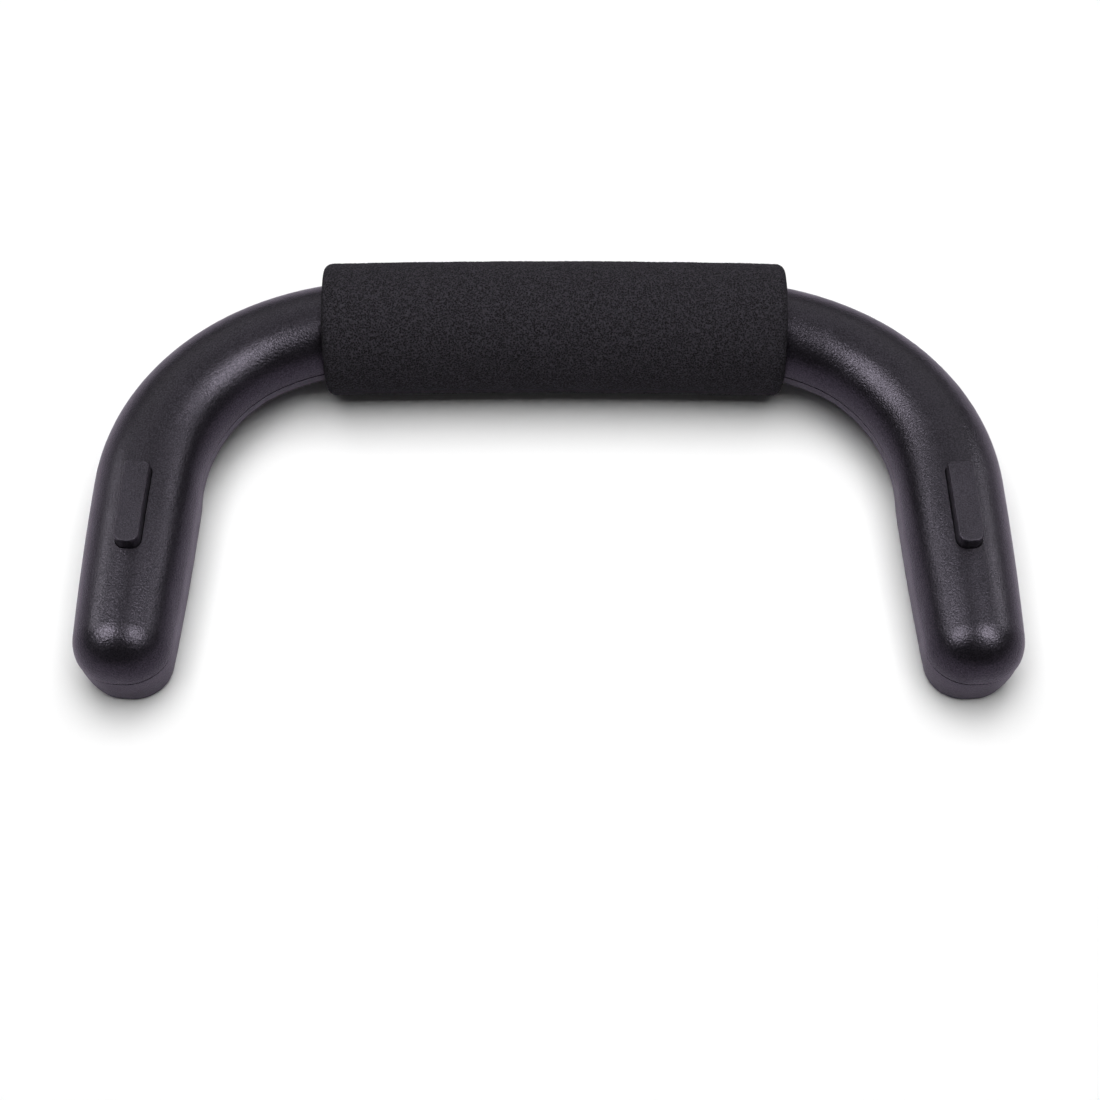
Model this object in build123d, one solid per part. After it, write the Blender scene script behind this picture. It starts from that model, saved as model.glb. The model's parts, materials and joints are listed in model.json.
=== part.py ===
from build123d import *
import os
from math import asin, atan2, cos, degrees, hypot, pi, radians, sin, sqrt

# A padded U-shaped assist handle at rest on a flat surface. Millimetres, +Z up, surface at z = 0.
# The origin is the bottom centre of the whole handle. The grip runs along X at the back (+Y side)
# and the two legs point forward (-Y). The right half (+X) is modelled and mirrored to the left.
# Everything is drawn in the handle's own level plane, with z = 0 on the underside of its foot pads.
# The foam sleeve is fatter than the legs, so at_rest() then tips the whole handle a little forward
# until the sleeve and the ends of the pads touch the surface together.

# ---- tube path in plan, right half: straight grip, easing arc, tight bend, straight leg ----
GRIP_HALF = 50.2
EASE_RADIUS = 72.5
EASE_ANGLE = 26.5
BEND_RADIUS = 56.0
SPLAY = 3.4
LEG_LENGTH = 60.3
GRIP_Y = 47.0
AXIS_Z = 15.3

# ---- tube section ----
GRIP_RADIUS = 13.7
LEG_ROOT_RADIUS = 15.1
LEG_END_RADIUS = 13.2
NOSE_CORNER = 12.6
SWELL_SECTIONS = 4
WALL = 2.5
PARTING_Z = AXIS_Z
PARTING_STEP = 0.25
GROOVE_HEIGHT = 0.9
GROOVE_DEPTH = 0.8

# ---- lower shell skirt: bowed walls down to a flat underside, fading out towards the grip ----
SHELL_BOTTOM = 0.4
SKIRT_DRAFT = 1.9
SKIRT_LEVELS = 3
SKIRT_MARGIN = 0.3
SKIRT_START_HALF_WIDTH = 1.5
SKIRT_EDGE = 0.8
FLOOR_WALL = 2.6
FADE_RADIUS = 320.0
FADE_START_Y = GRIP_Y - 38.0
LIP_HEIGHT = 1.5
LIP_THICKNESS = 1.1
LIP_GAP = 0.1

# ---- foam sleeve ----
FOAM_RADIUS = 19.4
FOAM_BORE_RADIUS = 13.75
FOAM_LENGTH = 133.0
FOAM_SHIFT = 1.6
FOAM_BACK = 0.5
FOAM_EDGE = 1.5
FOAM_SAG = 1.0

# ---- core tube, its cradle ribs and the screws through it ----
CORE_RADIUS = 8.0
CORE_WALL = 1.5
CORE_SHORTFALL = 6.0
CRADLE_GAP = 0.03
RIB_THICKNESS = 2.4
RIB_STATIONS = (0.0, 30.0, 62.0, 100.0, 132.0)
TUBE_SCREW_STATIONS = (45.0, 116.0)
TUBE_SCREW_TIP_Z = AXIS_Z + 11.6
LOWER_BOSS_RADIUS = 4.4
UPPER_BOSS_RADIUS = 3.4

# ---- screws ----
SCREW_SHANK_RADIUS = 1.5
SCREW_HEAD_RADIUS = 2.8
SCREW_HEAD_HEIGHT = 2.0
SCREW_SEAT_Z = 4.2
RECESS_RADIUS = 3.1
CLEAR_HOLE_RADIUS = 1.7
PILOT_GAP = 0.01
NOSE_SCREW_T = 51.5
NOSE_SCREW_TIP_Z = AXIS_Z + 7.0
NOSE_BOSS_RADIUS = 3.6
GUIDE_SHANK_RADIUS = 1.1
GUIDE_HEAD_RADIUS = 2.0
GUIDE_HEAD_HEIGHT = 1.4
GUIDE_SCREW_DEPTH = 6.0
GUIDE_SCREW_T = (10.0, 24.5)
GUIDE_SCREW_W = 7.3

# ---- push-button, T runs along the leg from the end of the bend ----
TRAVEL = 2.5
BUTTON_T = 13.5
BUTTON_LENGTH = 25.4
BUTTON_WIDTH = 7.0
BUTTON_TOP_Z = AXIS_Z + 18.8
BUTTON_BACK_CORNER = 1.2
BUTTON_FRONT_CORNER = 2.8
BUTTON_GAP = 0.2
BUTTON_EDGE = 0.5
FLANGE_TOP_Z = AXIS_Z + 10.2
FLANGE_THICKNESS = 1.5
FLANGE_MARGIN = 1.3

# ---- tongue under the button: a straight leg, then a 45 degree ramp through the latch plate ----
TONGUE_THICKNESS = 4.0
TONGUE_HALF_WIDTH = 3.0
TONGUE_KNEE_Z = 15.4
TONGUE_END_Z = 8.2
TONGUE_T = 17.0
TONGUE_GAP = 0.1

# ---- latch plate, guide and socket bush ----
LATCH_BOTTOM_Z = 9.05
LATCH_TOP_Z = 11.05
LATCH_BACK_T = 10.5
LATCH_STEP_T = 27.9
LATCH_FRONT_T = 43.4
LATCH_NARROW = 5.0
LATCH_WIDE = 7.5
POST_T = 36.5
LATCH_HOLE_RADIUS = 5.4
GUIDE_START_T = 4.5
GUIDE_END_T = 43.6
GUIDE_STEP_T = 27.2
GUIDE_HALF_WIDTH = 9.4
GUIDE_BOTTOM_Z = 11.2
GUIDE_TOP_Z = 13.1
GUIDE_SLOT_T = (15.8, 24.7)
GUIDE_SLOT_HALF_WIDTH = 3.3
FOOT_INNER_W = 5.3
RAIL_INNER_W = 7.7
BED_TOP_Z = 8.0
CROSS_WALL_T = (11.3, 23.0)
CROSS_WALL_THICKNESS = 1.8
CROSS_WALL_TOP_Z = 9.0
BUSH_BORE_RADIUS = 5.1
BUSH_RADIUS = 6.6
BUSH_FLANGE_RADIUS = 7.5
BUSH_FLANGE = 1.0
BUSH_BOSS_RADIUS = 8.6

# ---- return spring ----
SPRING_T = 8.5
SPRING_RADIUS = 1.95
SPRING_WIRE = 0.3
SPRING_TURNS = 7
SPRING_POCKET_RADIUS = 2.45
SPRING_POCKET_TOP_Z = AXIS_Z + 12.2
SPIGOT_RADIUS = 1.4
SPIGOT_HEIGHT = 3.0

# ---- rubber foot pad ----
PAD_THICKNESS = 1.8
PAD_HALF_WIDTH = 7.2
PAD_START_T = 0.5
PAD_END_T = 54.0
PAD_HOLE_RADIUS = 6.9
PAD_GAP = 0.15
PAD_EDGE = 0.4

REST_SHIFT_Y = 0.993
REACH = 200.0
BEND_ANGLE = 90.0 - SPLAY - EASE_ANGLE
EASE_LENGTH = EASE_RADIUS * radians(EASE_ANGLE)
BEND_LENGTH = BEND_RADIUS * radians(BEND_ANGLE)


# ---------------------------------------------------------------- path

def station(distance):
    """Point in plan and heading angle (degrees below +X) at a distance from the grip's middle."""
    straight = min(distance, GRIP_HALF)
    x, y = straight, GRIP_Y
    eased = min(max(distance - GRIP_HALF, 0.0), EASE_LENGTH) / EASE_RADIUS
    x += EASE_RADIUS * sin(eased)
    y -= EASE_RADIUS * (1 - cos(eased))
    bent = min(max(distance - GRIP_HALF - EASE_LENGTH, 0.0), BEND_LENGTH) / BEND_RADIUS
    x += BEND_RADIUS * (sin(eased + bent) - sin(eased))
    y -= BEND_RADIUS * (cos(eased) - cos(eased + bent))
    heading = eased + bent
    rest = max(distance - GRIP_HALF - EASE_LENGTH - BEND_LENGTH, 0.0)
    return x + rest * cos(heading), y - rest * sin(heading), heading * 180 / pi


def section_plane(distance):
    """Plane across the tube, facing along the path."""
    x, y, heading = station(distance)
    angle = radians(heading)
    return Plane(origin=(x, y, AXIS_Z), x_dir=(0, 0, 1), z_dir=(cos(angle), -sin(angle), 0))


def path_point(distance, side=0.0, z=AXIS_Z):
    """Point beside the path; side is positive towards the outside of the U."""
    x, y, heading = station(distance)
    angle = radians(heading)
    return Vector(x + side * sin(angle), y + side * cos(angle), z)


LEG_START = GRIP_HALF + EASE_LENGTH + BEND_LENGTH
BEND_START = GRIP_HALF + EASE_LENGTH


def arc_along(start, end, side=0.0, end_side=None, z=AXIS_Z):
    """Arc that follows the path between two stations on one bend, easing from one offset to another."""
    last = side if end_side is None else end_side
    return ThreePointArc(
        path_point(start, side, z),
        path_point((start + end) / 2, (side + last) / 2, z),
        path_point(end, last, z),
    )


def leg_frame():
    """Frame at the start of the right leg: x runs along the leg, z up, floor level."""
    x, y, heading = station(LEG_START)
    angle = radians(heading)
    return Plane(origin=(x, y, 0), x_dir=(cos(angle), -sin(angle), 0), z_dir=(0, 0, 1)).location


def in_leg(shape):
    return shape.moved(leg_frame())


def both_sides(shape):
    return shape + mirror(shape, about=Plane.YZ)


def mirrored(shape):
    return mirror(shape, about=Plane.YZ)


def block(t, w, z):
    """Box between two values along the leg, across it and up."""
    size = [high - low for low, high in (t, w, z)]
    middle = [(high + low) / 2 for low, high in (t, w, z)]
    return Pos(*middle) * Box(*size)


def pillar(t, w, z, radius):
    return Pos(t, w, (z[0] + z[1]) / 2) * Cylinder(radius, z[1] - z[0])


def slot_prism(middle_t, length, width, z):
    """Upright prism with full-round ends."""
    return Pos(middle_t, 0, z[0]) * extrude(SlotOverall(length, width), z[1] - z[0])


def oblong(margin, z):
    """Upright prism with the button's outline, grown by a margin; its front corners are rounder."""
    length = BUTTON_LENGTH + 2 * margin
    face = Rectangle(length, BUTTON_WIDTH + 2 * margin)
    back = face.vertices().sort_by(Axis.X)[:2]
    front = face.vertices().sort_by(Axis.X)[2:]
    face = fillet(back, BUTTON_BACK_CORNER + margin)
    front = [face.vertices().sort_by_distance(corner.center())[0] for corner in front]
    face = fillet(front, BUTTON_FRONT_CORNER + margin)
    return Pos(BUTTON_T, 0, z[0]) * extrude(face, z[1] - z[0])


# ---------------------------------------------------------------- outer form

def swept_tube(radius, start, end):
    """Round bar along the path, for the grip and both kinds of bend."""
    pieces = []
    if start < GRIP_HALF:
        pieces.append(Line(path_point(start), path_point(min(end, GRIP_HALF))))
    if end > GRIP_HALF:
        pieces.append(arc_along(max(start, GRIP_HALF), min(end, BEND_START)))
    if end > BEND_START:
        pieces.append(arc_along(BEND_START, end))
    return sweep(section_plane(start) * Circle(radius), path=Wire(pieces))


def leg_profile(inset):
    """Half section of the leg and its rounded nose, to be turned about the leg's axis."""
    length = LEG_LENGTH - inset
    root = LEG_ROOT_RADIUS - inset
    end = LEG_END_RADIUS - inset
    edges = [
        Line((0, 0), (0, root)),
        ThreePointArc((0, root), (length / 2, leg_middle(root, end)), (length, end)),
        Line((length, end), (length, 0)),
        Line((length, 0), (0, 0)),
    ]
    face = make_face(edges)
    tip = face.vertices().sort_by_distance((length, end, 0))[0]
    return fillet(tip, NOSE_CORNER - inset)


def leg_middle(root, end):
    """Half width halfway along a leg that starts parallel and tapers more and more towards its nose."""
    return root - (root - end) / 4


def bend_section(share, inset):
    """Section of the bend, which swells smoothly from the grip's size to the leg's."""
    swell = share * share * (3 - 2 * share)
    radius = GRIP_RADIUS + (LEG_ROOT_RADIUS - GRIP_RADIUS) * swell
    return section_plane(BEND_START + (LEG_START - BEND_START) * share) * Circle(radius - inset)


def grip_and_bend(inset):
    """Right half of the grip and the swelling bend, shrunk by an inset."""
    grip = swept_tube(GRIP_RADIUS - inset, 0.0, BEND_START)
    sections = [bend_section(index / SWELL_SECTIONS, inset) for index in range(SWELL_SECTIONS + 1)]
    bend = sweep(sections, path=arc_along(BEND_START, LEG_START), multisection=True)
    return grip + bend


def tube_body(inset):
    """Right half of the whole rounded body, shrunk by an inset."""
    return grip_and_bend(inset) + in_leg(Pos(0, 0, AXIS_Z) * revolve(leg_profile(inset), Axis.X))


def skirt_outline(depth, inset):
    """Plan outline of the skirt at a depth under the parting line, bend and leg."""
    z = PARTING_Z - depth
    shrink = inset + SKIRT_DRAFT * (depth / (PARTING_Z - SHELL_BOTTOM)) ** 2
    start_radius = GRIP_RADIUS - inset - SKIRT_MARGIN
    start = max(sqrt(max(start_radius**2 - depth**2, 0)), SKIRT_START_HALF_WIDTH)
    root = LEG_ROOT_RADIUS - shrink
    end = LEG_END_RADIUS - shrink
    nose = LEG_START + LEG_LENGTH - shrink
    middle = (LEG_START + nose) / 2
    edges = [Line(path_point(nose, end, z), path_point(nose, -end, z))]
    for side in (1, -1):
        bend = arc_along(BEND_START, LEG_START, side * start, side * root, z)
        waist = path_point(middle, side * leg_middle(root, end), z)
        edges += [bend, ThreePointArc(bend @ 1, waist, path_point(nose, side * end, z))]
    edges.append(Line(path_point(BEND_START, -start, z), path_point(BEND_START, start, z)))
    face = make_face(edges)
    for side in (end, -end):
        corner = face.vertices().sort_by_distance(path_point(nose, side, z))[0]
        face = fillet(corner, NOSE_CORNER - shrink)
    return face


def skirt(inset, edge):
    """Bowed skirt under the bend and leg, faded out towards the grip by a large round underside."""
    step = (PARTING_Z - SHELL_BOTTOM) / SKIRT_LEVELS
    body = loft([skirt_outline(step * level, inset) for level in range(SKIRT_LEVELS, -1, -1)])
    if edge:
        foot = body.faces().sort_by(Axis.Z)[0]
        rim = foot.edges().sort_by_distance(path_point(BEND_START, 0, SHELL_BOTTOM))[1:]
        body = fillet(rim, edge)
    drum = Pos(0, FADE_START_Y, SHELL_BOTTOM + FADE_RADIUS) * Rot(0, 90, 0)
    faded = drum * Cylinder(FADE_RADIUS, 2 * REACH)
    return body & (faded + block((0, REACH), (FADE_START_Y - REACH, FADE_START_Y), (0, PARTING_Z)))


def solid_below(shape):
    return shape & block((-REACH, REACH), (-REACH, REACH), (-REACH, PARTING_Z))


def solid_above(shape, z=PARTING_Z):
    return shape & block((-REACH, REACH), (-REACH, REACH), (z, REACH))


def lower_body(inset, floor, edge=0.0):
    """Right half of everything inside the lower shell's outer surface, down to a flat floor."""
    body = solid_below(grip_and_bend(inset)) + skirt(inset, edge)
    return body & block((-REACH, REACH), (-REACH, REACH), (floor, PARTING_Z))


def core_envelope(radius):
    """Bar along the core tube's line, both sides."""
    return both_sides(swept_tube(radius, 0.0, LEG_START - CORE_SHORTFALL))


# ---------------------------------------------------------------- shell features

def rib(distance, body):
    """Cradle rib across the body at a station."""
    x, y, heading = station(distance)
    slab = Pos(x, y, AXIS_Z) * Rot(0, 0, -heading) * Box(RIB_THICKNESS, 2 * REACH / 5, 2 * REACH / 5)
    return slab & body


def tube_screw_places():
    return [station(distance)[:2] for distance in TUBE_SCREW_STATIONS]


def upright(x, y, z, radius):
    return Pos(x, y, (z[0] + z[1]) / 2) * Cylinder(radius, z[1] - z[0])


def alignment_lip():
    """Thin wall standing on the lower shell inside the upper one, so the two halves can't slide."""
    outer = tube_body(WALL + LIP_GAP)
    inner = tube_body(WALL + LIP_GAP + LIP_THICKNESS)
    band = block((-REACH, REACH), (-REACH, REACH), (PARTING_Z - LIP_HEIGHT, PARTING_Z + LIP_HEIGHT))
    return (outer - inner) & band


def parting_groove():
    """Narrow shadow gap cut into the lower shell's edge, just under the upper shell."""
    band = block((-REACH, REACH), (-REACH, REACH), (PARTING_Z - GROOVE_HEIGHT, PARTING_Z))
    return band - tube_body(PARTING_STEP + GROOVE_DEPTH)


def latch_bed():
    """Rails, cross walls and boss that the guide, latch plate and bush sit on, in the leg's frame."""
    floor = SHELL_BOTTOM + FLOOR_WALL / 2
    bed = pillar(POST_T, 0, (floor, BED_TOP_Z), BUSH_BOSS_RADIUS)
    for side in (1, -1):
        low, high = sorted((side * FOOT_INNER_W, side * LEG_ROOT_RADIUS))
        bed += block((GUIDE_START_T, GUIDE_STEP_T), (low, high), (floor, BED_TOP_Z))
        low, high = sorted((side * RAIL_INNER_W, side * LEG_ROOT_RADIUS))
        bed += block((GUIDE_STEP_T, GUIDE_END_T), (low, high), (floor, BED_TOP_Z))
    for t in CROSS_WALL_T:
        ends = (t - CROSS_WALL_THICKNESS / 2, t + CROSS_WALL_THICKNESS / 2)
        bed += block(ends, (-FOOT_INNER_W, FOOT_INNER_W), (floor, CROSS_WALL_TOP_Z))
    return bed


def pad_recess():
    length = PAD_END_T - PAD_START_T + 2 * PAD_GAP
    width = 2 * (PAD_HALF_WIDTH + PAD_GAP)
    return slot_prism((PAD_START_T + PAD_END_T) / 2, length, width, (-1.0, PAD_THICKNESS))


def lower_shell():
    outer = lower_body(PARTING_STEP, SHELL_BOTTOM, SKIRT_EDGE)
    cavity = lower_body(WALL + PARTING_STEP, SHELL_BOTTOM + FLOOR_WALL)
    within = lower_body(PARTING_STEP + WALL / 2, SHELL_BOTTOM + FLOOR_WALL / 2)
    fill = in_leg(latch_bed()) & within
    nose = pillar(NOSE_SCREW_T, 0, (SHELL_BOTTOM, PARTING_Z), NOSE_BOSS_RADIUS)
    fill += in_leg(nose) & within
    for distance in RIB_STATIONS:
        fill += rib(distance, within)
    for x, y in tube_screw_places():
        fill += upright(x, y, (0, AXIS_Z), LOWER_BOSS_RADIUS) & within
    half = outer - cavity
    half += fill
    half += alignment_lip()
    half = half & block((0, REACH), (-REACH, REACH), (-REACH, REACH))
    cuts = in_leg(pillar(NOSE_SCREW_T, 0, (0, SCREW_SEAT_Z), RECESS_RADIUS))
    cuts += in_leg(pillar(NOSE_SCREW_T, 0, (0, REACH), CLEAR_HOLE_RADIUS))
    cuts += in_leg(pad_recess())
    cuts += in_leg(pillar(POST_T, 0, (0, BED_TOP_Z + 1), BUSH_RADIUS + PILOT_GAP))
    for t in GUIDE_SCREW_T:
        for side in (1, -1):
            depth = (GUIDE_TOP_Z - GUIDE_SCREW_DEPTH - GUIDE_HEAD_HEIGHT, GUIDE_TOP_Z)
            radius = GUIDE_SHANK_RADIUS + PILOT_GAP
            cuts += in_leg(pillar(t, side * GUIDE_SCREW_W, depth, radius))
    for x, y in tube_screw_places():
        cuts += upright(x, y, (-1, SCREW_SEAT_Z), RECESS_RADIUS)
        cuts += upright(x, y, (0, AXIS_Z), CLEAR_HOLE_RADIUS)
    cuts += parting_groove()
    half -= cuts
    return both_sides(half) - core_envelope(CORE_RADIUS + CRADLE_GAP)


def upper_shell():
    half = solid_above(tube_body(0.0) - tube_body(WALL))
    within = tube_body(WALL / 2)
    for distance in RIB_STATIONS:
        half += solid_above(rib(distance, within), PARTING_Z + LIP_HEIGHT + 2 * LIP_GAP)
    for x, y in tube_screw_places():
        boss = upright(x, y, (AXIS_Z, REACH), UPPER_BOSS_RADIUS) & within
        half += boss
    nose = in_leg(pillar(NOSE_SCREW_T, 0, (PARTING_Z, REACH), NOSE_BOSS_RADIUS)) & within
    half += nose
    half = half & block((0, REACH), (-REACH, REACH), (-REACH, REACH))
    half -= in_leg(oblong(BUTTON_GAP, (AXIS_Z, REACH)))
    pilot = SCREW_SHANK_RADIUS + PILOT_GAP
    half -= in_leg(pillar(NOSE_SCREW_T, 0, (0, NOSE_SCREW_TIP_Z + 0.3), pilot))
    for x, y in tube_screw_places():
        half -= upright(x, y, (0, TUBE_SCREW_TIP_Z + 0.3), pilot)
    return both_sides(half) - core_envelope(CORE_RADIUS + CRADLE_GAP)


# ---------------------------------------------------------------- other pieces

def core_tube():
    """Bent steel tube that carries the load from leg to leg, cross-drilled for its screws."""
    half = swept_tube(CORE_RADIUS, 0.0, LEG_START - CORE_SHORTFALL)
    half -= swept_tube(CORE_RADIUS - CORE_WALL, 0.0, LEG_START - CORE_SHORTFALL)
    for x, y in tube_screw_places():
        half -= upright(x, y, (0, 2 * AXIS_Z), CLEAR_HOLE_RADIUS)
    return both_sides(half)


def foam_grip():
    """Foam sleeve: a nearly straight round bar with square ends, bored a little forward of centre."""
    left = FOAM_SHIFT - FOAM_LENGTH / 2
    right = FOAM_SHIFT + FOAM_LENGTH / 2
    middle_y = GRIP_Y + FOAM_BACK
    spine = ThreePointArc(
        Vector(left, middle_y - FOAM_SAG, AXIS_Z),
        Vector(FOAM_SHIFT, middle_y, AXIS_Z),
        Vector(right, middle_y - FOAM_SAG, AXIS_Z),
    )
    start = Plane(origin=spine @ 0, x_dir=(0, 0, 1), z_dir=spine % 0)
    bar = sweep(start * Circle(FOAM_RADIUS), path=spine)
    for end in (left, right):
        cap = bar.faces().sort_by_distance(Vector(end, GRIP_Y, AXIS_Z))[0]
        bar = fillet(cap.edges(), FOAM_EDGE)
    return bar - both_sides(swept_tube(FOAM_BORE_RADIUS, 0.0, BEND_START))


def screw(radius, head_radius, head_height, seat_z, tip_z):
    """Pan-head screw standing head down; the tip is a short cone."""
    length = tip_z - seat_z
    head = Pos(0, 0, seat_z - head_height / 2) * Cylinder(head_radius, head_height)
    head = chamfer(head.edges().sort_by(Axis.Z)[0], head_height / 3)
    shank = Pos(0, 0, seat_z + length / 2) * Cylinder(radius, length)
    shank = chamfer(shank.edges().sort_by(Axis.Z)[-1], radius / 2)
    drive = Pos(0, 0, seat_z - head_height) * Rot(0, 0, 45) * Box(head_radius, head_radius / 4, head_height)
    return head + shank - drive - Rot(0, 0, 90) * drive


def long_screw(tip_z):
    return screw(SCREW_SHANK_RADIUS, SCREW_HEAD_RADIUS, SCREW_HEAD_HEIGHT, SCREW_SEAT_Z, tip_z)


def tube_screws():
    screws = [Pos(x, y, 0) * long_screw(TUBE_SCREW_TIP_Z) for x, y in tube_screw_places()]
    return Compound(children=screws + [mirrored(item) for item in screws])


def nose_screws():
    right = in_leg(Pos(NOSE_SCREW_T, 0, 0) * long_screw(NOSE_SCREW_TIP_Z))
    return Compound(children=[right, mirrored(right)])


def guide_screws():
    """Short screws that hold the latch guides down, heads up."""
    depth = GUIDE_SCREW_DEPTH + GUIDE_HEAD_HEIGHT - 0.2
    upside_down = screw(GUIDE_SHANK_RADIUS, GUIDE_HEAD_RADIUS, GUIDE_HEAD_HEIGHT, 0, depth)
    one = Pos(0, 0, GUIDE_TOP_Z) * Rot(180, 0, 0) * upside_down
    right = [
        in_leg(Pos(t, side * GUIDE_SCREW_W, 0) * one)
        for t in GUIDE_SCREW_T
        for side in (1, -1)
    ]
    return Compound(children=right + [mirrored(item) for item in right])


def tongue_section(gap, low_z, high_z):
    """Side view of the 45 degree ramp between two heights, as a prism across the leg."""
    half = TONGUE_THICKNESS / 2 + gap
    middle = (LATCH_BOTTOM_Z + LATCH_TOP_Z) / 2
    corners = [
        (TONGUE_T + low_z - middle - half, low_z),
        (TONGUE_T + low_z - middle + half, low_z),
        (TONGUE_T + high_z - middle + half, high_z),
        (TONGUE_T + high_z - middle - half, high_z),
    ]
    face = Plane.XZ * make_face(Polyline(*corners, close=True))
    return extrude(face, TONGUE_HALF_WIDTH + gap, both=True)


def button():
    """Oblong push-button with a retaining flange, a spring pocket and a tongue that drives the latch."""
    cap = oblong(0.0, (FLANGE_TOP_Z - FLANGE_THICKNESS, BUTTON_TOP_Z))
    cap = fillet(cap.faces().sort_by(Axis.Z)[-1].edges(), BUTTON_EDGE)
    cap += oblong(FLANGE_MARGIN, (FLANGE_TOP_Z - FLANGE_THICKNESS, FLANGE_TOP_Z))
    middle = (LATCH_BOTTOM_Z + LATCH_TOP_Z) / 2
    leg_t = TONGUE_T + TONGUE_KNEE_Z - middle
    ends = (leg_t - TONGUE_THICKNESS / 2, leg_t + TONGUE_THICKNESS / 2)
    width = (-TONGUE_HALF_WIDTH, TONGUE_HALF_WIDTH)
    cap += block(ends, width, (TONGUE_KNEE_Z, FLANGE_TOP_Z))
    cap += tongue_section(0.0, TONGUE_END_Z, TONGUE_KNEE_Z)
    cap -= pillar(SPRING_T, 0, (0, SPRING_POCKET_TOP_Z), SPRING_POCKET_RADIUS)
    return in_leg(cap)


def button_spring():
    """Compression spring between the latch guide and the button."""
    base = GUIDE_TOP_Z + SPRING_WIRE + 0.05
    height = SPRING_POCKET_TOP_Z - SPRING_WIRE - 0.05 - base
    coil = Helix(pitch=height / SPRING_TURNS, height=height, radius=SPRING_RADIUS)
    start = Plane(origin=coil @ 0, z_dir=coil % 0)
    wire = sweep(start * Circle(SPRING_WIRE), path=coil, is_frenet=True)
    return in_leg(Pos(SPRING_T, 0, base) * wire)


def latch_plate():
    """Sliding plate with a hole for the post and an inclined window for the button's tongue."""
    height = (LATCH_BOTTOM_Z, LATCH_TOP_Z)
    plate = block((LATCH_BACK_T, LATCH_STEP_T), (-LATCH_NARROW, LATCH_NARROW), height)
    plate += block((LATCH_STEP_T, LATCH_FRONT_T), (-LATCH_WIDE, LATCH_WIDE), height)
    plate -= pillar(POST_T - TRAVEL, 0, (0, REACH), LATCH_HOLE_RADIUS)
    plate -= tongue_section(TONGUE_GAP, LATCH_BOTTOM_Z - 1, LATCH_TOP_Z + 1)
    return in_leg(plate)


def latch_guide():
    """Cover screwed over the latch plate; it keeps the plate in its channel and seats the spring."""
    half = GUIDE_HALF_WIDTH
    cover = block((GUIDE_START_T, GUIDE_END_T), (-half, half), (GUIDE_BOTTOM_Z, GUIDE_TOP_Z))
    for side in (1, -1):
        low, high = sorted((side * FOOT_INNER_W, side * half))
        cover += block((GUIDE_START_T, GUIDE_STEP_T), (low, high), (BED_TOP_Z, GUIDE_TOP_Z))
        low, high = sorted((side * RAIL_INNER_W, side * half))
        cover += block((GUIDE_STEP_T, GUIDE_END_T), (low, high), (BED_TOP_Z, GUIDE_TOP_Z))
    cover += pillar(SPRING_T, 0, (GUIDE_BOTTOM_Z, GUIDE_TOP_Z + SPIGOT_HEIGHT), SPIGOT_RADIUS)
    slot_w = (-GUIDE_SLOT_HALF_WIDTH, GUIDE_SLOT_HALF_WIDTH)
    cover -= block(GUIDE_SLOT_T, slot_w, (0, REACH))
    cover -= pillar(POST_T, 0, (0, REACH), LATCH_HOLE_RADIUS)
    for t in GUIDE_SCREW_T:
        for side in (1, -1):
            place = (t, side * GUIDE_SCREW_W)
            cover -= pillar(*place, (0, REACH), GUIDE_SHANK_RADIUS + BUTTON_GAP)
    return in_leg(cover)


def socket_bush():
    """Flanged steel bush that takes a post from below."""
    bush = pillar(POST_T, 0, (PAD_THICKNESS, BED_TOP_Z + BUSH_FLANGE), BUSH_RADIUS)
    bush += pillar(POST_T, 0, (BED_TOP_Z, BED_TOP_Z + BUSH_FLANGE), BUSH_FLANGE_RADIUS)
    bush -= pillar(POST_T, 0, (0, REACH), BUSH_BORE_RADIUS)
    return in_leg(bush)


def foot_pad():
    """Rubber pad set in the underside of a leg, with a hole for the post."""
    length = PAD_END_T - PAD_START_T
    pad = slot_prism((PAD_START_T + PAD_END_T) / 2, length, 2 * PAD_HALF_WIDTH, (0, PAD_THICKNESS))
    pad = fillet(pad.faces().sort_by(Axis.Z)[0].edges(), PAD_EDGE)
    pad -= pillar(POST_T, 0, (-1, REACH), PAD_HOLE_RADIUS)
    return in_leg(pad)


# ---------------------------------------------------------------- resting pose

def at_rest(shape):
    """Tip a piece with the whole handle until the foam sleeve and the pads' front ends touch down."""
    x, front_y, heading = station(LEG_START + PAD_END_T - PAD_HALF_WIDTH)
    front_y -= PAD_HALF_WIDTH - PAD_EDGE
    back_y = GRIP_Y + FOAM_BACK - FOAM_SAG
    reach = back_y - front_y
    rise = AXIS_Z - PAD_EDGE
    tip = asin((FOAM_RADIUS - PAD_EDGE) / hypot(reach, rise)) - atan2(rise, reach)
    lift = FOAM_RADIUS - back_y * sin(tip) - AXIS_Z * cos(tip)
    place = Pos(0, REST_SHIFT_Y, lift) * Rot(degrees(tip), 0, 0)
    solids = [solid.moved(place) for solid in shape.solids()]
    return solids[0] if len(solids) == 1 else Compound(children=solids)


# ---------------------------------------------------------------- write the parts

os.makedirs("parts", exist_ok=True)

single = {
    "upper_shell": upper_shell,
    "lower_shell": lower_shell,
    "core_tube": core_tube,
    "foam_grip": foam_grip,
    "tube_screws": tube_screws,
    "nose_screws": nose_screws,
    "guide_screws": guide_screws,
}
paired = {
    "button": button,
    "button_spring": button_spring,
    "latch_plate": latch_plate,
    "latch_guide": latch_guide,
    "socket_bush": socket_bush,
    "foot_pad": foot_pad,
}

for name, make in single.items():
    export_step(at_rest(make()), f"parts/{name}.step")
for name, make in paired.items():
    right = make()
    export_step(at_rest(right), f"parts/right_{name}.step")
    export_step(at_rest(mirrored(right)), f"parts/left_{name}.step")
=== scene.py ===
import json
import math

import bpy
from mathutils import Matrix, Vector, noise


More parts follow.
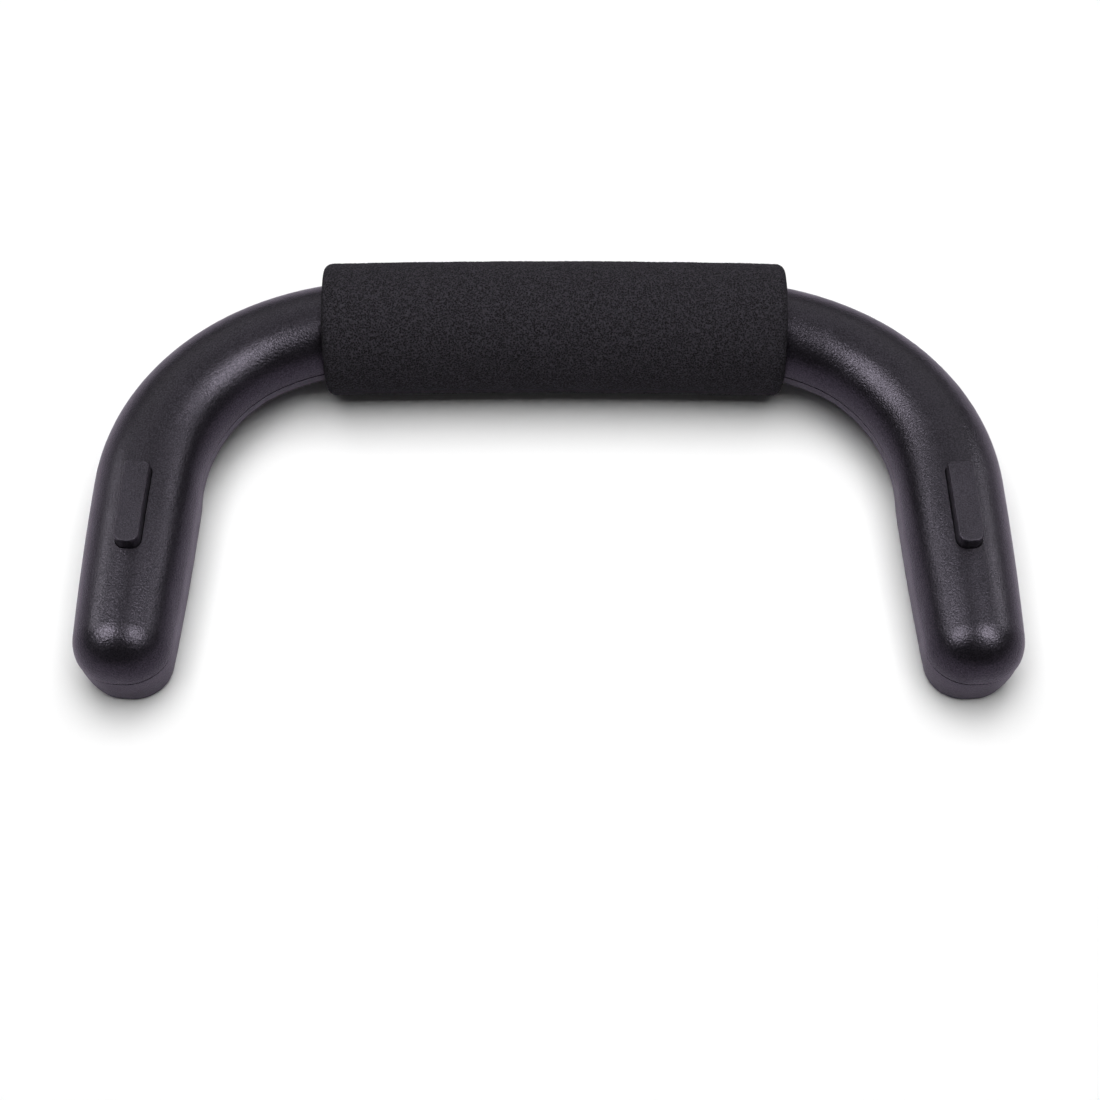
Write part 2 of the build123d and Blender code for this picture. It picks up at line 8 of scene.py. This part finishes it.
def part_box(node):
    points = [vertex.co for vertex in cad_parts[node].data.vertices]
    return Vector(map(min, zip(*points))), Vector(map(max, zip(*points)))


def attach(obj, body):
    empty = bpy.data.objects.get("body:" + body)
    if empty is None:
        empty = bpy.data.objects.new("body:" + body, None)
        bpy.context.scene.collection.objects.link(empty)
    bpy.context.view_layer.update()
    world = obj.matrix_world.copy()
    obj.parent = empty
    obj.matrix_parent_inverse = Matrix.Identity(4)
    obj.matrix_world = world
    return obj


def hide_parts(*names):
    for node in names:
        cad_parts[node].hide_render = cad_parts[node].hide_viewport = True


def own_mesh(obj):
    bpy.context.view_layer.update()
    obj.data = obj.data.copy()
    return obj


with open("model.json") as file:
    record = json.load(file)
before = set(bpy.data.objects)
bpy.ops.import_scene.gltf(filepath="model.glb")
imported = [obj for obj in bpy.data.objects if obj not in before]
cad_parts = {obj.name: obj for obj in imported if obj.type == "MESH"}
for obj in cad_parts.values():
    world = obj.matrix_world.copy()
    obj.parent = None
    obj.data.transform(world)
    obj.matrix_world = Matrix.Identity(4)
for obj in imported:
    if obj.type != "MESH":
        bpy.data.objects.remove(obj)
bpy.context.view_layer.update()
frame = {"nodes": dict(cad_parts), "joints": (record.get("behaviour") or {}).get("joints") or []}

# A padded U-shaped assist handle. The shells, buttons, latches, bushes, pads and screws are the frame's own
# meshes with materials laid on them. The foam sleeve and the button springs are made here. All in metres.

MM = 0.001

# ---- axis of the tube under the sleeve, half of it: a straight grip, then an easing arc ----
GRIP_STRAIGHT = 50.2 * MM
EASE_RADIUS = 72.5 * MM

# ---- foam sleeve: it sits a little behind the tube's axis, and its ends sag forward ----
FOAM_BORE = 13.75 * MM
FOAM_BACK = 0.5 * MM
FOAM_SAG = 1.0 * MM
FOAM_RIM = 2.5 * MM
FOAM_END_BULGE = 0.4 * MM
FOAM_END_SWELL = 0.6 * MM

# ---- relief of the foam's skin ----
FOAM_GRAIN = 0.13 * MM
FOAM_GRAIN_SIZE = 0.7 * MM
FINE_GRAIN_SHARE = 0.5
FINE_GRAIN_SIZE = 0.45 * FOAM_GRAIN_SIZE
FOAM_LUMP = 0.12 * MM
FOAM_LUMP_SIZE = 9.0 * MM

# ---- fineness of the foam's mesh ----
FOAM_STEP = 0.42 * MM
RIM_STEPS = 8
END_STEPS = 12
BORE_STEPS = 80

# ---- scales of the textures, roughly in grains to the metre ----
SHELL_GRAIN = 2500.0
BUTTON_GRAIN = 2900.0
PLASTIC_MOTTLE = 60.0
PLASTIC_SHEEN = 140.0
FOAM_PORES = 2000.0
FOAM_SPECKS = 2500.0
STEEL_SCRATCHES = 900.0
STEEL_CLOUDS = 90.0
RUBBER_DUST = 220.0
RUBBER_GRAIN = 1800.0
ACETAL_CLOUDS = 70.0
ACETAL_GRAIN = 1500.0
FLOOR_CLOUDS = 8.0

# ---- depths of the textures, and the edge radius that moulded plastic is shaded with ----
SHELL_GRAIN_DEPTH = 0.07 * MM
BUTTON_GRAIN_DEPTH = 0.06 * MM
FOAM_PORE_DEPTH = 0.25 * MM
SCRATCH_DEPTH = 0.01 * MM
RUBBER_GRAIN_DEPTH = 0.04 * MM
ACETAL_GRAIN_DEPTH = 0.02 * MM
ACETAL_GLOW_DEPTH = 1.0 * MM
MOULDED_EDGE = 0.12 * MM

# ---- tint of the highlights on the plastic, and colour of the floor as shiny surfaces reflect it ----
VIOLET_HIGHLIGHT = (0.9, 0.82, 1.0, 1.0)
FLOOR_IN_REFLECTIONS = (0.66, 0.59, 0.71, 1.0)

# ---- floor: past FLOOR_NEAR it brightens for the camera, up to FLOOR_GLOW at FLOOR_FAR ----
FLOOR_HALF = 3.0
FLOOR_NEAR = 0.45
FLOOR_FAR = 1.3
FLOOR_GLOW = 0.9

# ---- surroundings: how bright they light the handle, and how bright the camera sees them ----
WORLD_FILL = 0.06
WORLD_SEEN = 0.95

# ---- camera, measured from the handle's own plane, which leans a little at rest ----
CAMERA_DISTANCE = 0.6398
CAMERA_ELEVATION = math.radians(62.5)
CAMERA_LENS = 74.9
CAMERA_SENSOR = 36.0
CAMERA_CLIP = 0.01
TARGET_FORWARD = 73.5 * MM
TARGET_SIDE = 0.35 * MM

# ---- the mix node has one pair of inputs for each data type; these are the sockets of its colours ----
MIX_COLOUR_A = 6
MIX_COLOUR_B = 7
MIX_COLOUR_RESULT = 2


# ---------------------------------------------------------------- node helpers

def new_material(name):
    material = bpy.data.materials.new(name)
    material.use_nodes = True
    tree = material.node_tree
    return material, tree, tree.nodes["Principled BSDF"]


def add(tree, kind, **inputs):
    """Adds a node and sets its inputs by name; underscores stand for spaces."""
    node = tree.nodes.new(kind)
    for key, value in inputs.items():
        node.inputs[key.replace("_", " ")].default_value = value
    return node


def link(tree, source, target):
    tree.links.new(source, target)


def object_coords(tree):
    return tree.nodes.new("ShaderNodeTexCoord").outputs["Object"]


def noise_texture(tree, coords, scale, detail=3.0, rough=0.5):
    node = add(tree, "ShaderNodeTexNoise", Scale=scale, Detail=detail, Roughness=rough)
    link(tree, coords, node.inputs["Vector"])
    return node.outputs["Fac"]


def cells(tree, coords, scale):
    """Distance to the nearest of many scattered points: dark pits in a paler field."""
    node = add(tree, "ShaderNodeTexVoronoi", Scale=scale)
    link(tree, coords, node.inputs["Vector"])
    return node.outputs["Distance"]


def remap(tree, value, span, onto):
    """Maps a value's span onto another pair of numbers."""
    node = add(tree, "ShaderNodeMapRange", From_Min=span[0], From_Max=span[1], To_Min=onto[0], To_Max=onto[1])
    link(tree, value, node.inputs["Value"])
    return node.outputs["Result"]


def tint(tree, value, span, dark, light):
    """Runs from a dark to a light colour over a value's span."""
    node = tree.nodes.new("ShaderNodeValToRGB")
    for element, position, colour in zip(node.color_ramp.elements, span, (dark, light)):
        element.position = position
        element.color = (*colour, 1.0)
    link(tree, value, node.inputs["Fac"])
    return node.outputs["Color"]


def bump(tree, height, depth, strength=1.0, normal=None):
    node = add(tree, "ShaderNodeBump", Strength=strength, Distance=depth)
    link(tree, height, node.inputs["Height"])
    if normal is not None:
        link(tree, normal, node.inputs["Normal"])
    return node.outputs["Normal"]


def math_node(tree, operation, *values):
    """Adds a sum or product of values, each a number or another node's output."""
    node = tree.nodes.new("ShaderNodeMath")
    node.operation = operation
    for socket, value in zip(node.inputs, values):
        if isinstance(value, float):
            socket.default_value = value
        else:
            link(tree, value, socket)
    return node.outputs["Value"]


def weighted_sum(tree, *terms):
    """Sum of (value, weight) pairs."""
    total = 0.0
    for value, weight in terms:
        total = math_node(tree, "MULTIPLY_ADD", value, weight, total)
    return total


# ---------------------------------------------------------------- materials

def moulded_plastic(name, dark, light, roughness, grain, grain_depth):
    """Spark-textured moulding: two sizes of grain, a slightly uneven sheen and softened edges."""
    material, tree, shader = new_material(name)
    coords = object_coords(tree)
    fine = noise_texture(tree, coords, grain, detail=2.0, rough=0.6)
    pits = cells(tree, coords, 0.6 * grain)
    mottle = noise_texture(tree, coords, PLASTIC_MOTTLE)
    sheen = noise_texture(tree, coords, PLASTIC_SHEEN)
    shade = weighted_sum(tree, (mottle, 0.4), (fine, 0.6))
    rough = remap(tree, sheen, span=(0.3, 0.7), onto=(roughness - 0.03, roughness + 0.03))
    link(tree, tint(tree, shade, (0.4, 0.62), dark, light), shader.inputs["Base Color"])
    link(tree, remap(tree, fine, span=(0.35, 0.68), onto=(0.32, 0.64)), shader.inputs["Specular IOR Level"])
    link(tree, rough, shader.inputs["Roughness"])
    soft_edges = add(tree, "ShaderNodeBevel", Radius=MOULDED_EDGE)
    soft_edges.samples = 4
    height = weighted_sum(tree, (fine, 1.0), (pits, 0.6))
    normal = bump(tree, height, grain_depth, normal=soft_edges.outputs["Normal"])
    link(tree, normal, shader.inputs["Normal"])
    shader.inputs["Specular Tint"].default_value = VIOLET_HIGHLIGHT
    return material


def foam_material():
    """Open-cell foam: the pits are painted dark as shade in the pores, between matte cell walls that catch the
    light.
    """
    material, tree, shader = new_material("open_cell_foam")
    coords = object_coords(tree)
    pores_with_painted_shade = cells(tree, coords, FOAM_PORES)
    specks = noise_texture(tree, coords, FOAM_SPECKS, rough=0.7)
    skin = weighted_sum(tree, (pores_with_painted_shade, 0.5), (specks, 0.8))
    # the pits are painted near black as shade inside the pores; the specks vary the tone at random
    colour = tint(tree, skin, (0.46, 0.84), dark=(0.0006, 0.0005, 0.0008), light=(0.034, 0.031, 0.0385))
    link(tree, colour, shader.inputs["Base Color"])
    shader.inputs["Roughness"].default_value = 0.95
    shader.inputs["Specular IOR Level"].default_value = 0.1
    link(tree, bump(tree, skin, FOAM_PORE_DEPTH), shader.inputs["Normal"])
    return material


def steel(name, light, roughness, stretch):
    """Plated steel with fine scratches, drawn out along each axis whose stretch is below 1."""
    material, tree, shader = new_material(name)
    coords = object_coords(tree)
    mapping = add(tree, "ShaderNodeMapping", Scale=stretch)
    link(tree, coords, mapping.inputs["Vector"])
    scratches = noise_texture(tree, mapping.outputs["Vector"], STEEL_SCRATCHES, detail=4.0)
    clouds = noise_texture(tree, coords, STEEL_CLOUDS)
    dark = [0.8 * channel for channel in light]
    rough = remap(tree, scratches, span=(0.2, 0.8), onto=(roughness - 0.08, roughness + 0.12))
    link(tree, tint(tree, clouds, (0.3, 0.75), dark, light), shader.inputs["Base Color"])
    link(tree, rough, shader.inputs["Roughness"])
    link(tree, bump(tree, scratches, SCRATCH_DEPTH, strength=0.6), shader.inputs["Normal"])
    shader.inputs["Metallic"].default_value = 1.0
    return material


def rubber_material():
    """Matte moulded rubber with a trace of dust."""
    material, tree, shader = new_material("pad_rubber")
    coords = object_coords(tree)
    dust = noise_texture(tree, coords, RUBBER_DUST, detail=5.0, rough=0.65)
    grain = noise_texture(tree, coords, RUBBER_GRAIN)
    colour = tint(tree, dust, (0.4, 0.8), dark=(0.018, 0.018, 0.019), light=(0.05, 0.049, 0.047))
    link(tree, colour, shader.inputs["Base Color"])
    link(tree, remap(tree, dust, span=(0.3, 0.8), onto=(0.7, 0.9)), shader.inputs["Roughness"])
    link(tree, bump(tree, grain, RUBBER_GRAIN_DEPTH, strength=0.8), shader.inputs["Normal"])
    return material


def acetal_material():
    """Natural acetal: off-white, slightly waxy and translucent."""
    material, tree, shader = new_material("natural_acetal")
    coords = object_coords(tree)
    clouds = noise_texture(tree, coords, ACETAL_CLOUDS)
    grain = noise_texture(tree, coords, ACETAL_GRAIN)
    colour = tint(tree, clouds, (0.3, 0.8), dark=(0.62, 0.6, 0.54), light=(0.72, 0.7, 0.65))
    link(tree, colour, shader.inputs["Base Color"])
    link(tree, remap(tree, clouds, span=(0.3, 0.8), onto=(0.38, 0.5)), shader.inputs["Roughness"])
    link(tree, bump(tree, grain, ACETAL_GRAIN_DEPTH, strength=0.5), shader.inputs["Normal"])
    shader.inputs["Subsurface Weight"].default_value = 0.1
    shader.inputs["Subsurface Scale"].default_value = ACETAL_GLOW_DEPTH
    return material


def coat(mesh, material):
    mesh.materials.clear()
    mesh.materials.append(material)


def paint(node, material):
    coat(frame["nodes"][node].data, material)


# ---------------------------------------------------------------- places taken from the frame

def press_joint(hand):
    """Joint of a push-button, and the direction that points up out of the handle's plane."""
    joint = next(joint for joint in frame["joints"] if joint["name"] == hand + "_button_press")
    return joint, -Vector(joint["axis"])


def handle_axes():
    """Middle of the sleeve, and the handle's sideways, backward and upward directions at rest."""
    up = press_joint("right")[1]
    across = Vector((1, 0, 0))
    low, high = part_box("foam_grip")
    radius = (high.z - low.z) / 2
    middle = Vector(((low.x + high.x) / 2, high.y - radius, high.z - radius))
    return middle, across, up.cross(across), up


# ---------------------------------------------------------------- foam sleeve

def tube_axis(x):
    """How far the tube's axis has swung forward at a distance from the handle's middle, and its slope."""
    slope = math.asin(max(abs(x) - GRIP_STRAIGHT, 0.0) / EASE_RADIUS)
    return -EASE_RADIUS * (1 - math.cos(slope)), slope


def sleeve_loop(half, radius):
    """Closed outline of the sleeve's wall, as (place along it, 1 at the skin to 0 at the bore, skin radius)."""
    flat = half - FOAM_RIM
    edge_radius = radius - FOAM_RIM
    count = round(2 * flat / FOAM_STEP)
    skin = [(flat * (2 * i / count - 1), 1.0, radius) for i in range(count + 1)]
    rim = []
    for i in range(1, RIM_STEPS + 1):
        angle = math.pi / 2 * i / RIM_STEPS
        rim.append((flat + FOAM_RIM * math.sin(angle), 1.0, edge_radius + FOAM_RIM * math.cos(angle)))
    end = [(half, 1 - i / END_STEPS, edge_radius) for i in range(1, END_STEPS + 1)]
    bore = [(half * (1 - 2 * i / BORE_STEPS), 0.0, edge_radius) for i in range(1, BORE_STEPS)]
    right = rim + end
    left = [(-along, out, r) for along, out, r in reversed(right)]
    return skin + right + bore + left


def sleeve_point(shift, half, along, out, r, angle):
    """Point of the sleeve's wall, sideways, back and up from the handle's middle at the sleeve's height."""
    bow_radius = half * half / (2 * FOAM_SAG)
    turn = along / bow_radius
    centre = Vector((shift + bow_radius * math.sin(turn), -bow_radius * (1 - math.cos(turn)), 0))
    side = Vector((math.sin(turn), math.cos(turn), 0))
    skin = side * (r * math.cos(angle)) + Vector((0, 0, r * math.sin(angle)))
    swing, slope = tube_axis(centre.x)
    bore = side * (swing - FOAM_BACK - centre.y + FOAM_BORE / math.cos(slope) * math.cos(angle))
    bore += Vector((0, 0, FOAM_BORE * math.sin(angle)))
    bulge = math.copysign(FOAM_END_BULGE, along) * math.sin(math.pi * out) if out < 1 else 0.0
    return centre + bore.lerp(skin, out) + side.cross(Vector((0, 0, 1))) * bulge


def foam_relief(place):
    """Height of the foam's skin over its outline, mostly below it: soft lumps and the walls of its cells."""
    lump = noise.noise(place / FOAM_LUMP_SIZE) * FOAM_LUMP
    grain = noise.noise(place / FOAM_GRAIN_SIZE) + FINE_GRAIN_SHARE * noise.noise(place / FINE_GRAIN_SIZE)
    return lump + grain * FOAM_GRAIN - FOAM_GRAIN - 0.5 * FOAM_LUMP


def foam_sleeve():
    """Sleeve over the middle of the tube; its relief fades out towards the bore."""
    middle, across, back, up = handle_axes()
    low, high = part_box("foam_grip")
    radius = (high.z - low.z) / 2
    reach = (high.x - low.x) / 2
    leaning_ends = 2 * FOAM_SAG * radius / reach
    half = reach - leaning_ends + FOAM_END_SWELL
    shift = middle.x
    origin = middle - across * shift
    loop = sleeve_loop(half, radius)
    rings = len(loop)
    around = round(2 * math.pi * radius / FOAM_STEP)
    verts, faces = [], []
    for along, out, r in loop:
        for j in range(around):
            angle = 2 * math.pi * j / around
            local = sleeve_point(shift, half, along, out, r, angle)
            place = origin + across * local.x + back * local.y + up * local.z
            radial = back * math.cos(angle) + up * math.sin(angle)
            outward = radial if out == 1 else across * math.copysign(1, along)
            verts.append(place + outward * foam_relief(place) * min(1.0, 3 * out))
    for i in range(rings):
        ring, next_ring = i * around, (i + 1) % rings * around
        for j in range(around):
            step = (j + 1) % around
            faces.append((ring + j, ring + step, next_ring + step, next_ring + j))
    mesh = bpy.data.meshes.new("foam_sleeve")
    mesh.from_pydata(verts, [], faces)
    mesh.update()
    mesh.shade_smooth()
    coat(mesh, foam_material())
    piece = bpy.data.objects.new("foam_sleeve", mesh)
    bpy.context.scene.collection.objects.link(piece)
    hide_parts("foam_grip")
    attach(piece, "handle")


# ---------------------------------------------------------------- button springs

def coil_spring(hand, material):
    """Spring under a button: a copy of the frame's spring mesh with its own material, hung on the handle in
    place of the CAD node.
    """
    node = hand + "_button_spring"
    mesh = frame["nodes"][node].data.copy()
    coat(mesh, material)
    piece = bpy.data.objects.new(hand + "_coil_spring", mesh)
    bpy.context.scene.collection.objects.link(piece)
    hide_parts(node)
    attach(piece, "handle")
    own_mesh(piece)


# ---------------------------------------------------------------- materials on the pieces

def dress_handle():
    """Gives the CAD nodes that show their materials, and puts in copies of the button springs."""
    shell = moulded_plastic("shell_plastic", dark=(0.0015, 0.0013, 0.0018), light=(0.006, 0.0053, 0.0071),
                            roughness=0.31, grain=SHELL_GRAIN, grain_depth=SHELL_GRAIN_DEPTH)
    # lower shell: dark moulded plastic, its colour lightened to paint in light reflected from the floor
    base = moulded_plastic("base_plastic_with_painted_floor_light", dark=(0.009, 0.0079, 0.0106), light=(0.02, 0.0178, 0.0232),
                           roughness=0.38, grain=SHELL_GRAIN, grain_depth=SHELL_GRAIN_DEPTH)
    keys = moulded_plastic("button_plastic", dark=(0.003, 0.0026, 0.0035), light=(0.009, 0.0079, 0.0104),
                           roughness=0.42, grain=BUTTON_GRAIN, grain_depth=BUTTON_GRAIN_DEPTH)
    rubber = rubber_material()
    acetal = acetal_material()
    tube_steel = steel("tube_steel", (0.62, 0.62, 0.63), roughness=0.3, stretch=(0.2, 1.0, 1.0))
    latch_steel = steel("latch_steel", (0.55, 0.55, 0.57), roughness=0.34, stretch=(1.0, 0.15, 1.0))
    bush_steel = steel("bush_steel", (0.6, 0.6, 0.62), roughness=0.28, stretch=(1.0, 1.0, 0.1))
    spring_steel = steel("spring_steel", (0.5, 0.5, 0.52), roughness=0.3, stretch=(1.0, 1.0, 1.0))
    screw_steel = steel("screw_steel", (0.62, 0.6, 0.55), roughness=0.32, stretch=(1.0, 1.0, 0.3))
    paint("upper_shell", shell)
    paint("lower_shell", base)
    paint("core_tube", tube_steel)
    for group in ("tube_screws", "nose_screws", "guide_screws"):
        paint(group, screw_steel)
    for hand in ("left", "right"):
        paint(hand + "_button", keys)
        coil_spring(hand, spring_steel)
        paint(hand + "_latch_plate", latch_steel)
        paint(hand + "_latch_guide", acetal)
        paint(hand + "_socket_bush", bush_steel)
        paint(hand + "_foot_pad", rubber)


# ---------------------------------------------------------------- stage

def floor():
    """White floor: it looks violet-grey in reflections, and fades to plain white far from the object."""
    material, tree, shader = new_material("pale_floor")
    coords = object_coords(tree)
    path = tree.nodes.new("ShaderNodeLightPath")
    clouds = noise_texture(tree, coords, FLOOR_CLOUDS)
    mix = tree.nodes.new("ShaderNodeMix")
    mix.data_type = "RGBA"
    mix.inputs[MIX_COLOUR_B].default_value = FLOOR_IN_REFLECTIONS
    paper = tint(tree, clouds, (0.3, 0.7), dark=(0.9, 0.9, 0.9), light=(0.91, 0.91, 0.91))
    link(tree, paper, mix.inputs[MIX_COLOUR_A])
    link(tree, path.outputs["Is Glossy Ray"], mix.inputs["Factor"])
    link(tree, mix.outputs[MIX_COLOUR_RESULT], shader.inputs["Base Color"])
    shader.inputs["Roughness"].default_value = 0.6
    shader.inputs["Specular IOR Level"].default_value = 0.0
    distance = tree.nodes.new("ShaderNodeVectorMath")
    distance.operation = "LENGTH"
    link(tree, coords, distance.inputs[0])
    far = remap(tree, distance.outputs["Value"], span=(FLOOR_NEAR, FLOOR_FAR), onto=(0.0, FLOOR_GLOW))
    glow = math_node(tree, "MULTIPLY", far, path.outputs["Is Camera Ray"])
    link(tree, glow, shader.inputs["Emission Strength"])
    shader.inputs["Emission Color"].default_value = (1, 1, 1, 1)
    corners = [(x * FLOOR_HALF, y * FLOOR_HALF, 0) for x, y in ((-1, -1), (1, -1), (1, 1), (-1, 1))]
    mesh = bpy.data.meshes.new("floor")
    mesh.from_pydata(corners, [], [(0, 1, 2, 3)])
    coat(mesh, material)
    plane = bpy.data.objects.new("floor", mesh)
    bpy.context.scene.collection.objects.link(plane)


def surroundings():
    """Dim white world that looks pale to the camera."""
    world = bpy.data.worlds.new("studio")
    bpy.context.scene.world = world
    world.use_nodes = True
    tree = world.node_tree
    background = tree.nodes["Background"]
    background.inputs["Color"].default_value = (1, 1, 1, 1)
    seen = tree.nodes.new("ShaderNodeLightPath").outputs["Is Camera Ray"]
    strength = remap(tree, seen, span=(0.0, 1.0), onto=(WORLD_FILL, WORLD_SEEN))
    link(tree, strength, background.inputs["Strength"])


def softbox(name, place, size, power, kind, target=(0, 0, 0), spread=180.0):
    """Area light aimed at a point: "matte" only lights surfaces, "glossy" only shows as a reflection."""
    data = bpy.data.lights.new(name, "AREA")
    data.shape = "RECTANGLE"
    data.size, data.size_y = size
    data.energy = power
    data.spread = math.radians(spread)
    lamp = bpy.data.objects.new(name, data)
    lamp.location = place
    lamp.visible_glossy = kind == "glossy"
    lamp.visible_diffuse = kind == "matte"
    lamp.rotation_mode = "QUATERNION"
    lamp.rotation_quaternion = (Vector(target) - Vector(place)).to_track_quat("-Z", "Y")
    bpy.context.scene.collection.objects.link(lamp)


def studio_lights():
    """One matte light overhead; the rest draw the streaks: bends, both sides of each leg, and outer rims."""
    softbox("overhead", (0.0, 0.09, 1.25), size=(1.05, 1.3), power=22.5, kind="matte")
    softbox("ceiling", (0.0, 1.0, 1.0), size=(2.4, 1.4), power=8.8, kind="glossy")
    softbox("left_box", (-0.6, -0.12, 0.86), size=(0.37, 0.66), power=8.7, kind="glossy")
    softbox("right_box", (0.5, -0.18, 0.9), size=(0.37, 0.62), power=8.3, kind="glossy")
    for hand, side, power in (("left", -1, 0.055), ("right", 1, 0.052)):
        softbox(hand + "_rim", (side * 0.52, 0.16, 0.24), size=(0.35, 0.3), power=power, kind="glossy",
                target=(side * 0.125, -0.02, 0.02), spread=22.0)


def camera():
    """Camera in front of the handle and above it, looking at a point between the legs."""
    middle, _, back, up = handle_axes()
    target = Vector((TARGET_SIDE, middle.y, middle.z)) - back * (TARGET_FORWARD + FOAM_BACK)
    toward = up * math.sin(CAMERA_ELEVATION) - back * math.cos(CAMERA_ELEVATION)
    data = bpy.data.cameras.new("camera")
    data.lens = CAMERA_LENS
    data.sensor_width = CAMERA_SENSOR
    data.clip_start = CAMERA_CLIP
    eye = bpy.data.objects.new("camera", data)
    eye.location = target + toward * CAMERA_DISTANCE
    eye.rotation_mode = "QUATERNION"
    eye.rotation_quaternion = (-toward).to_track_quat("-Z", "Y")
    bpy.context.scene.collection.objects.link(eye)
    bpy.context.scene.camera = eye


# ---------------------------------------------------------------- build the scene

dress_handle()
foam_sleeve()
floor()
surroundings()
studio_lights()
camera()
bpy.context.scene.view_settings.view_transform = "Standard"
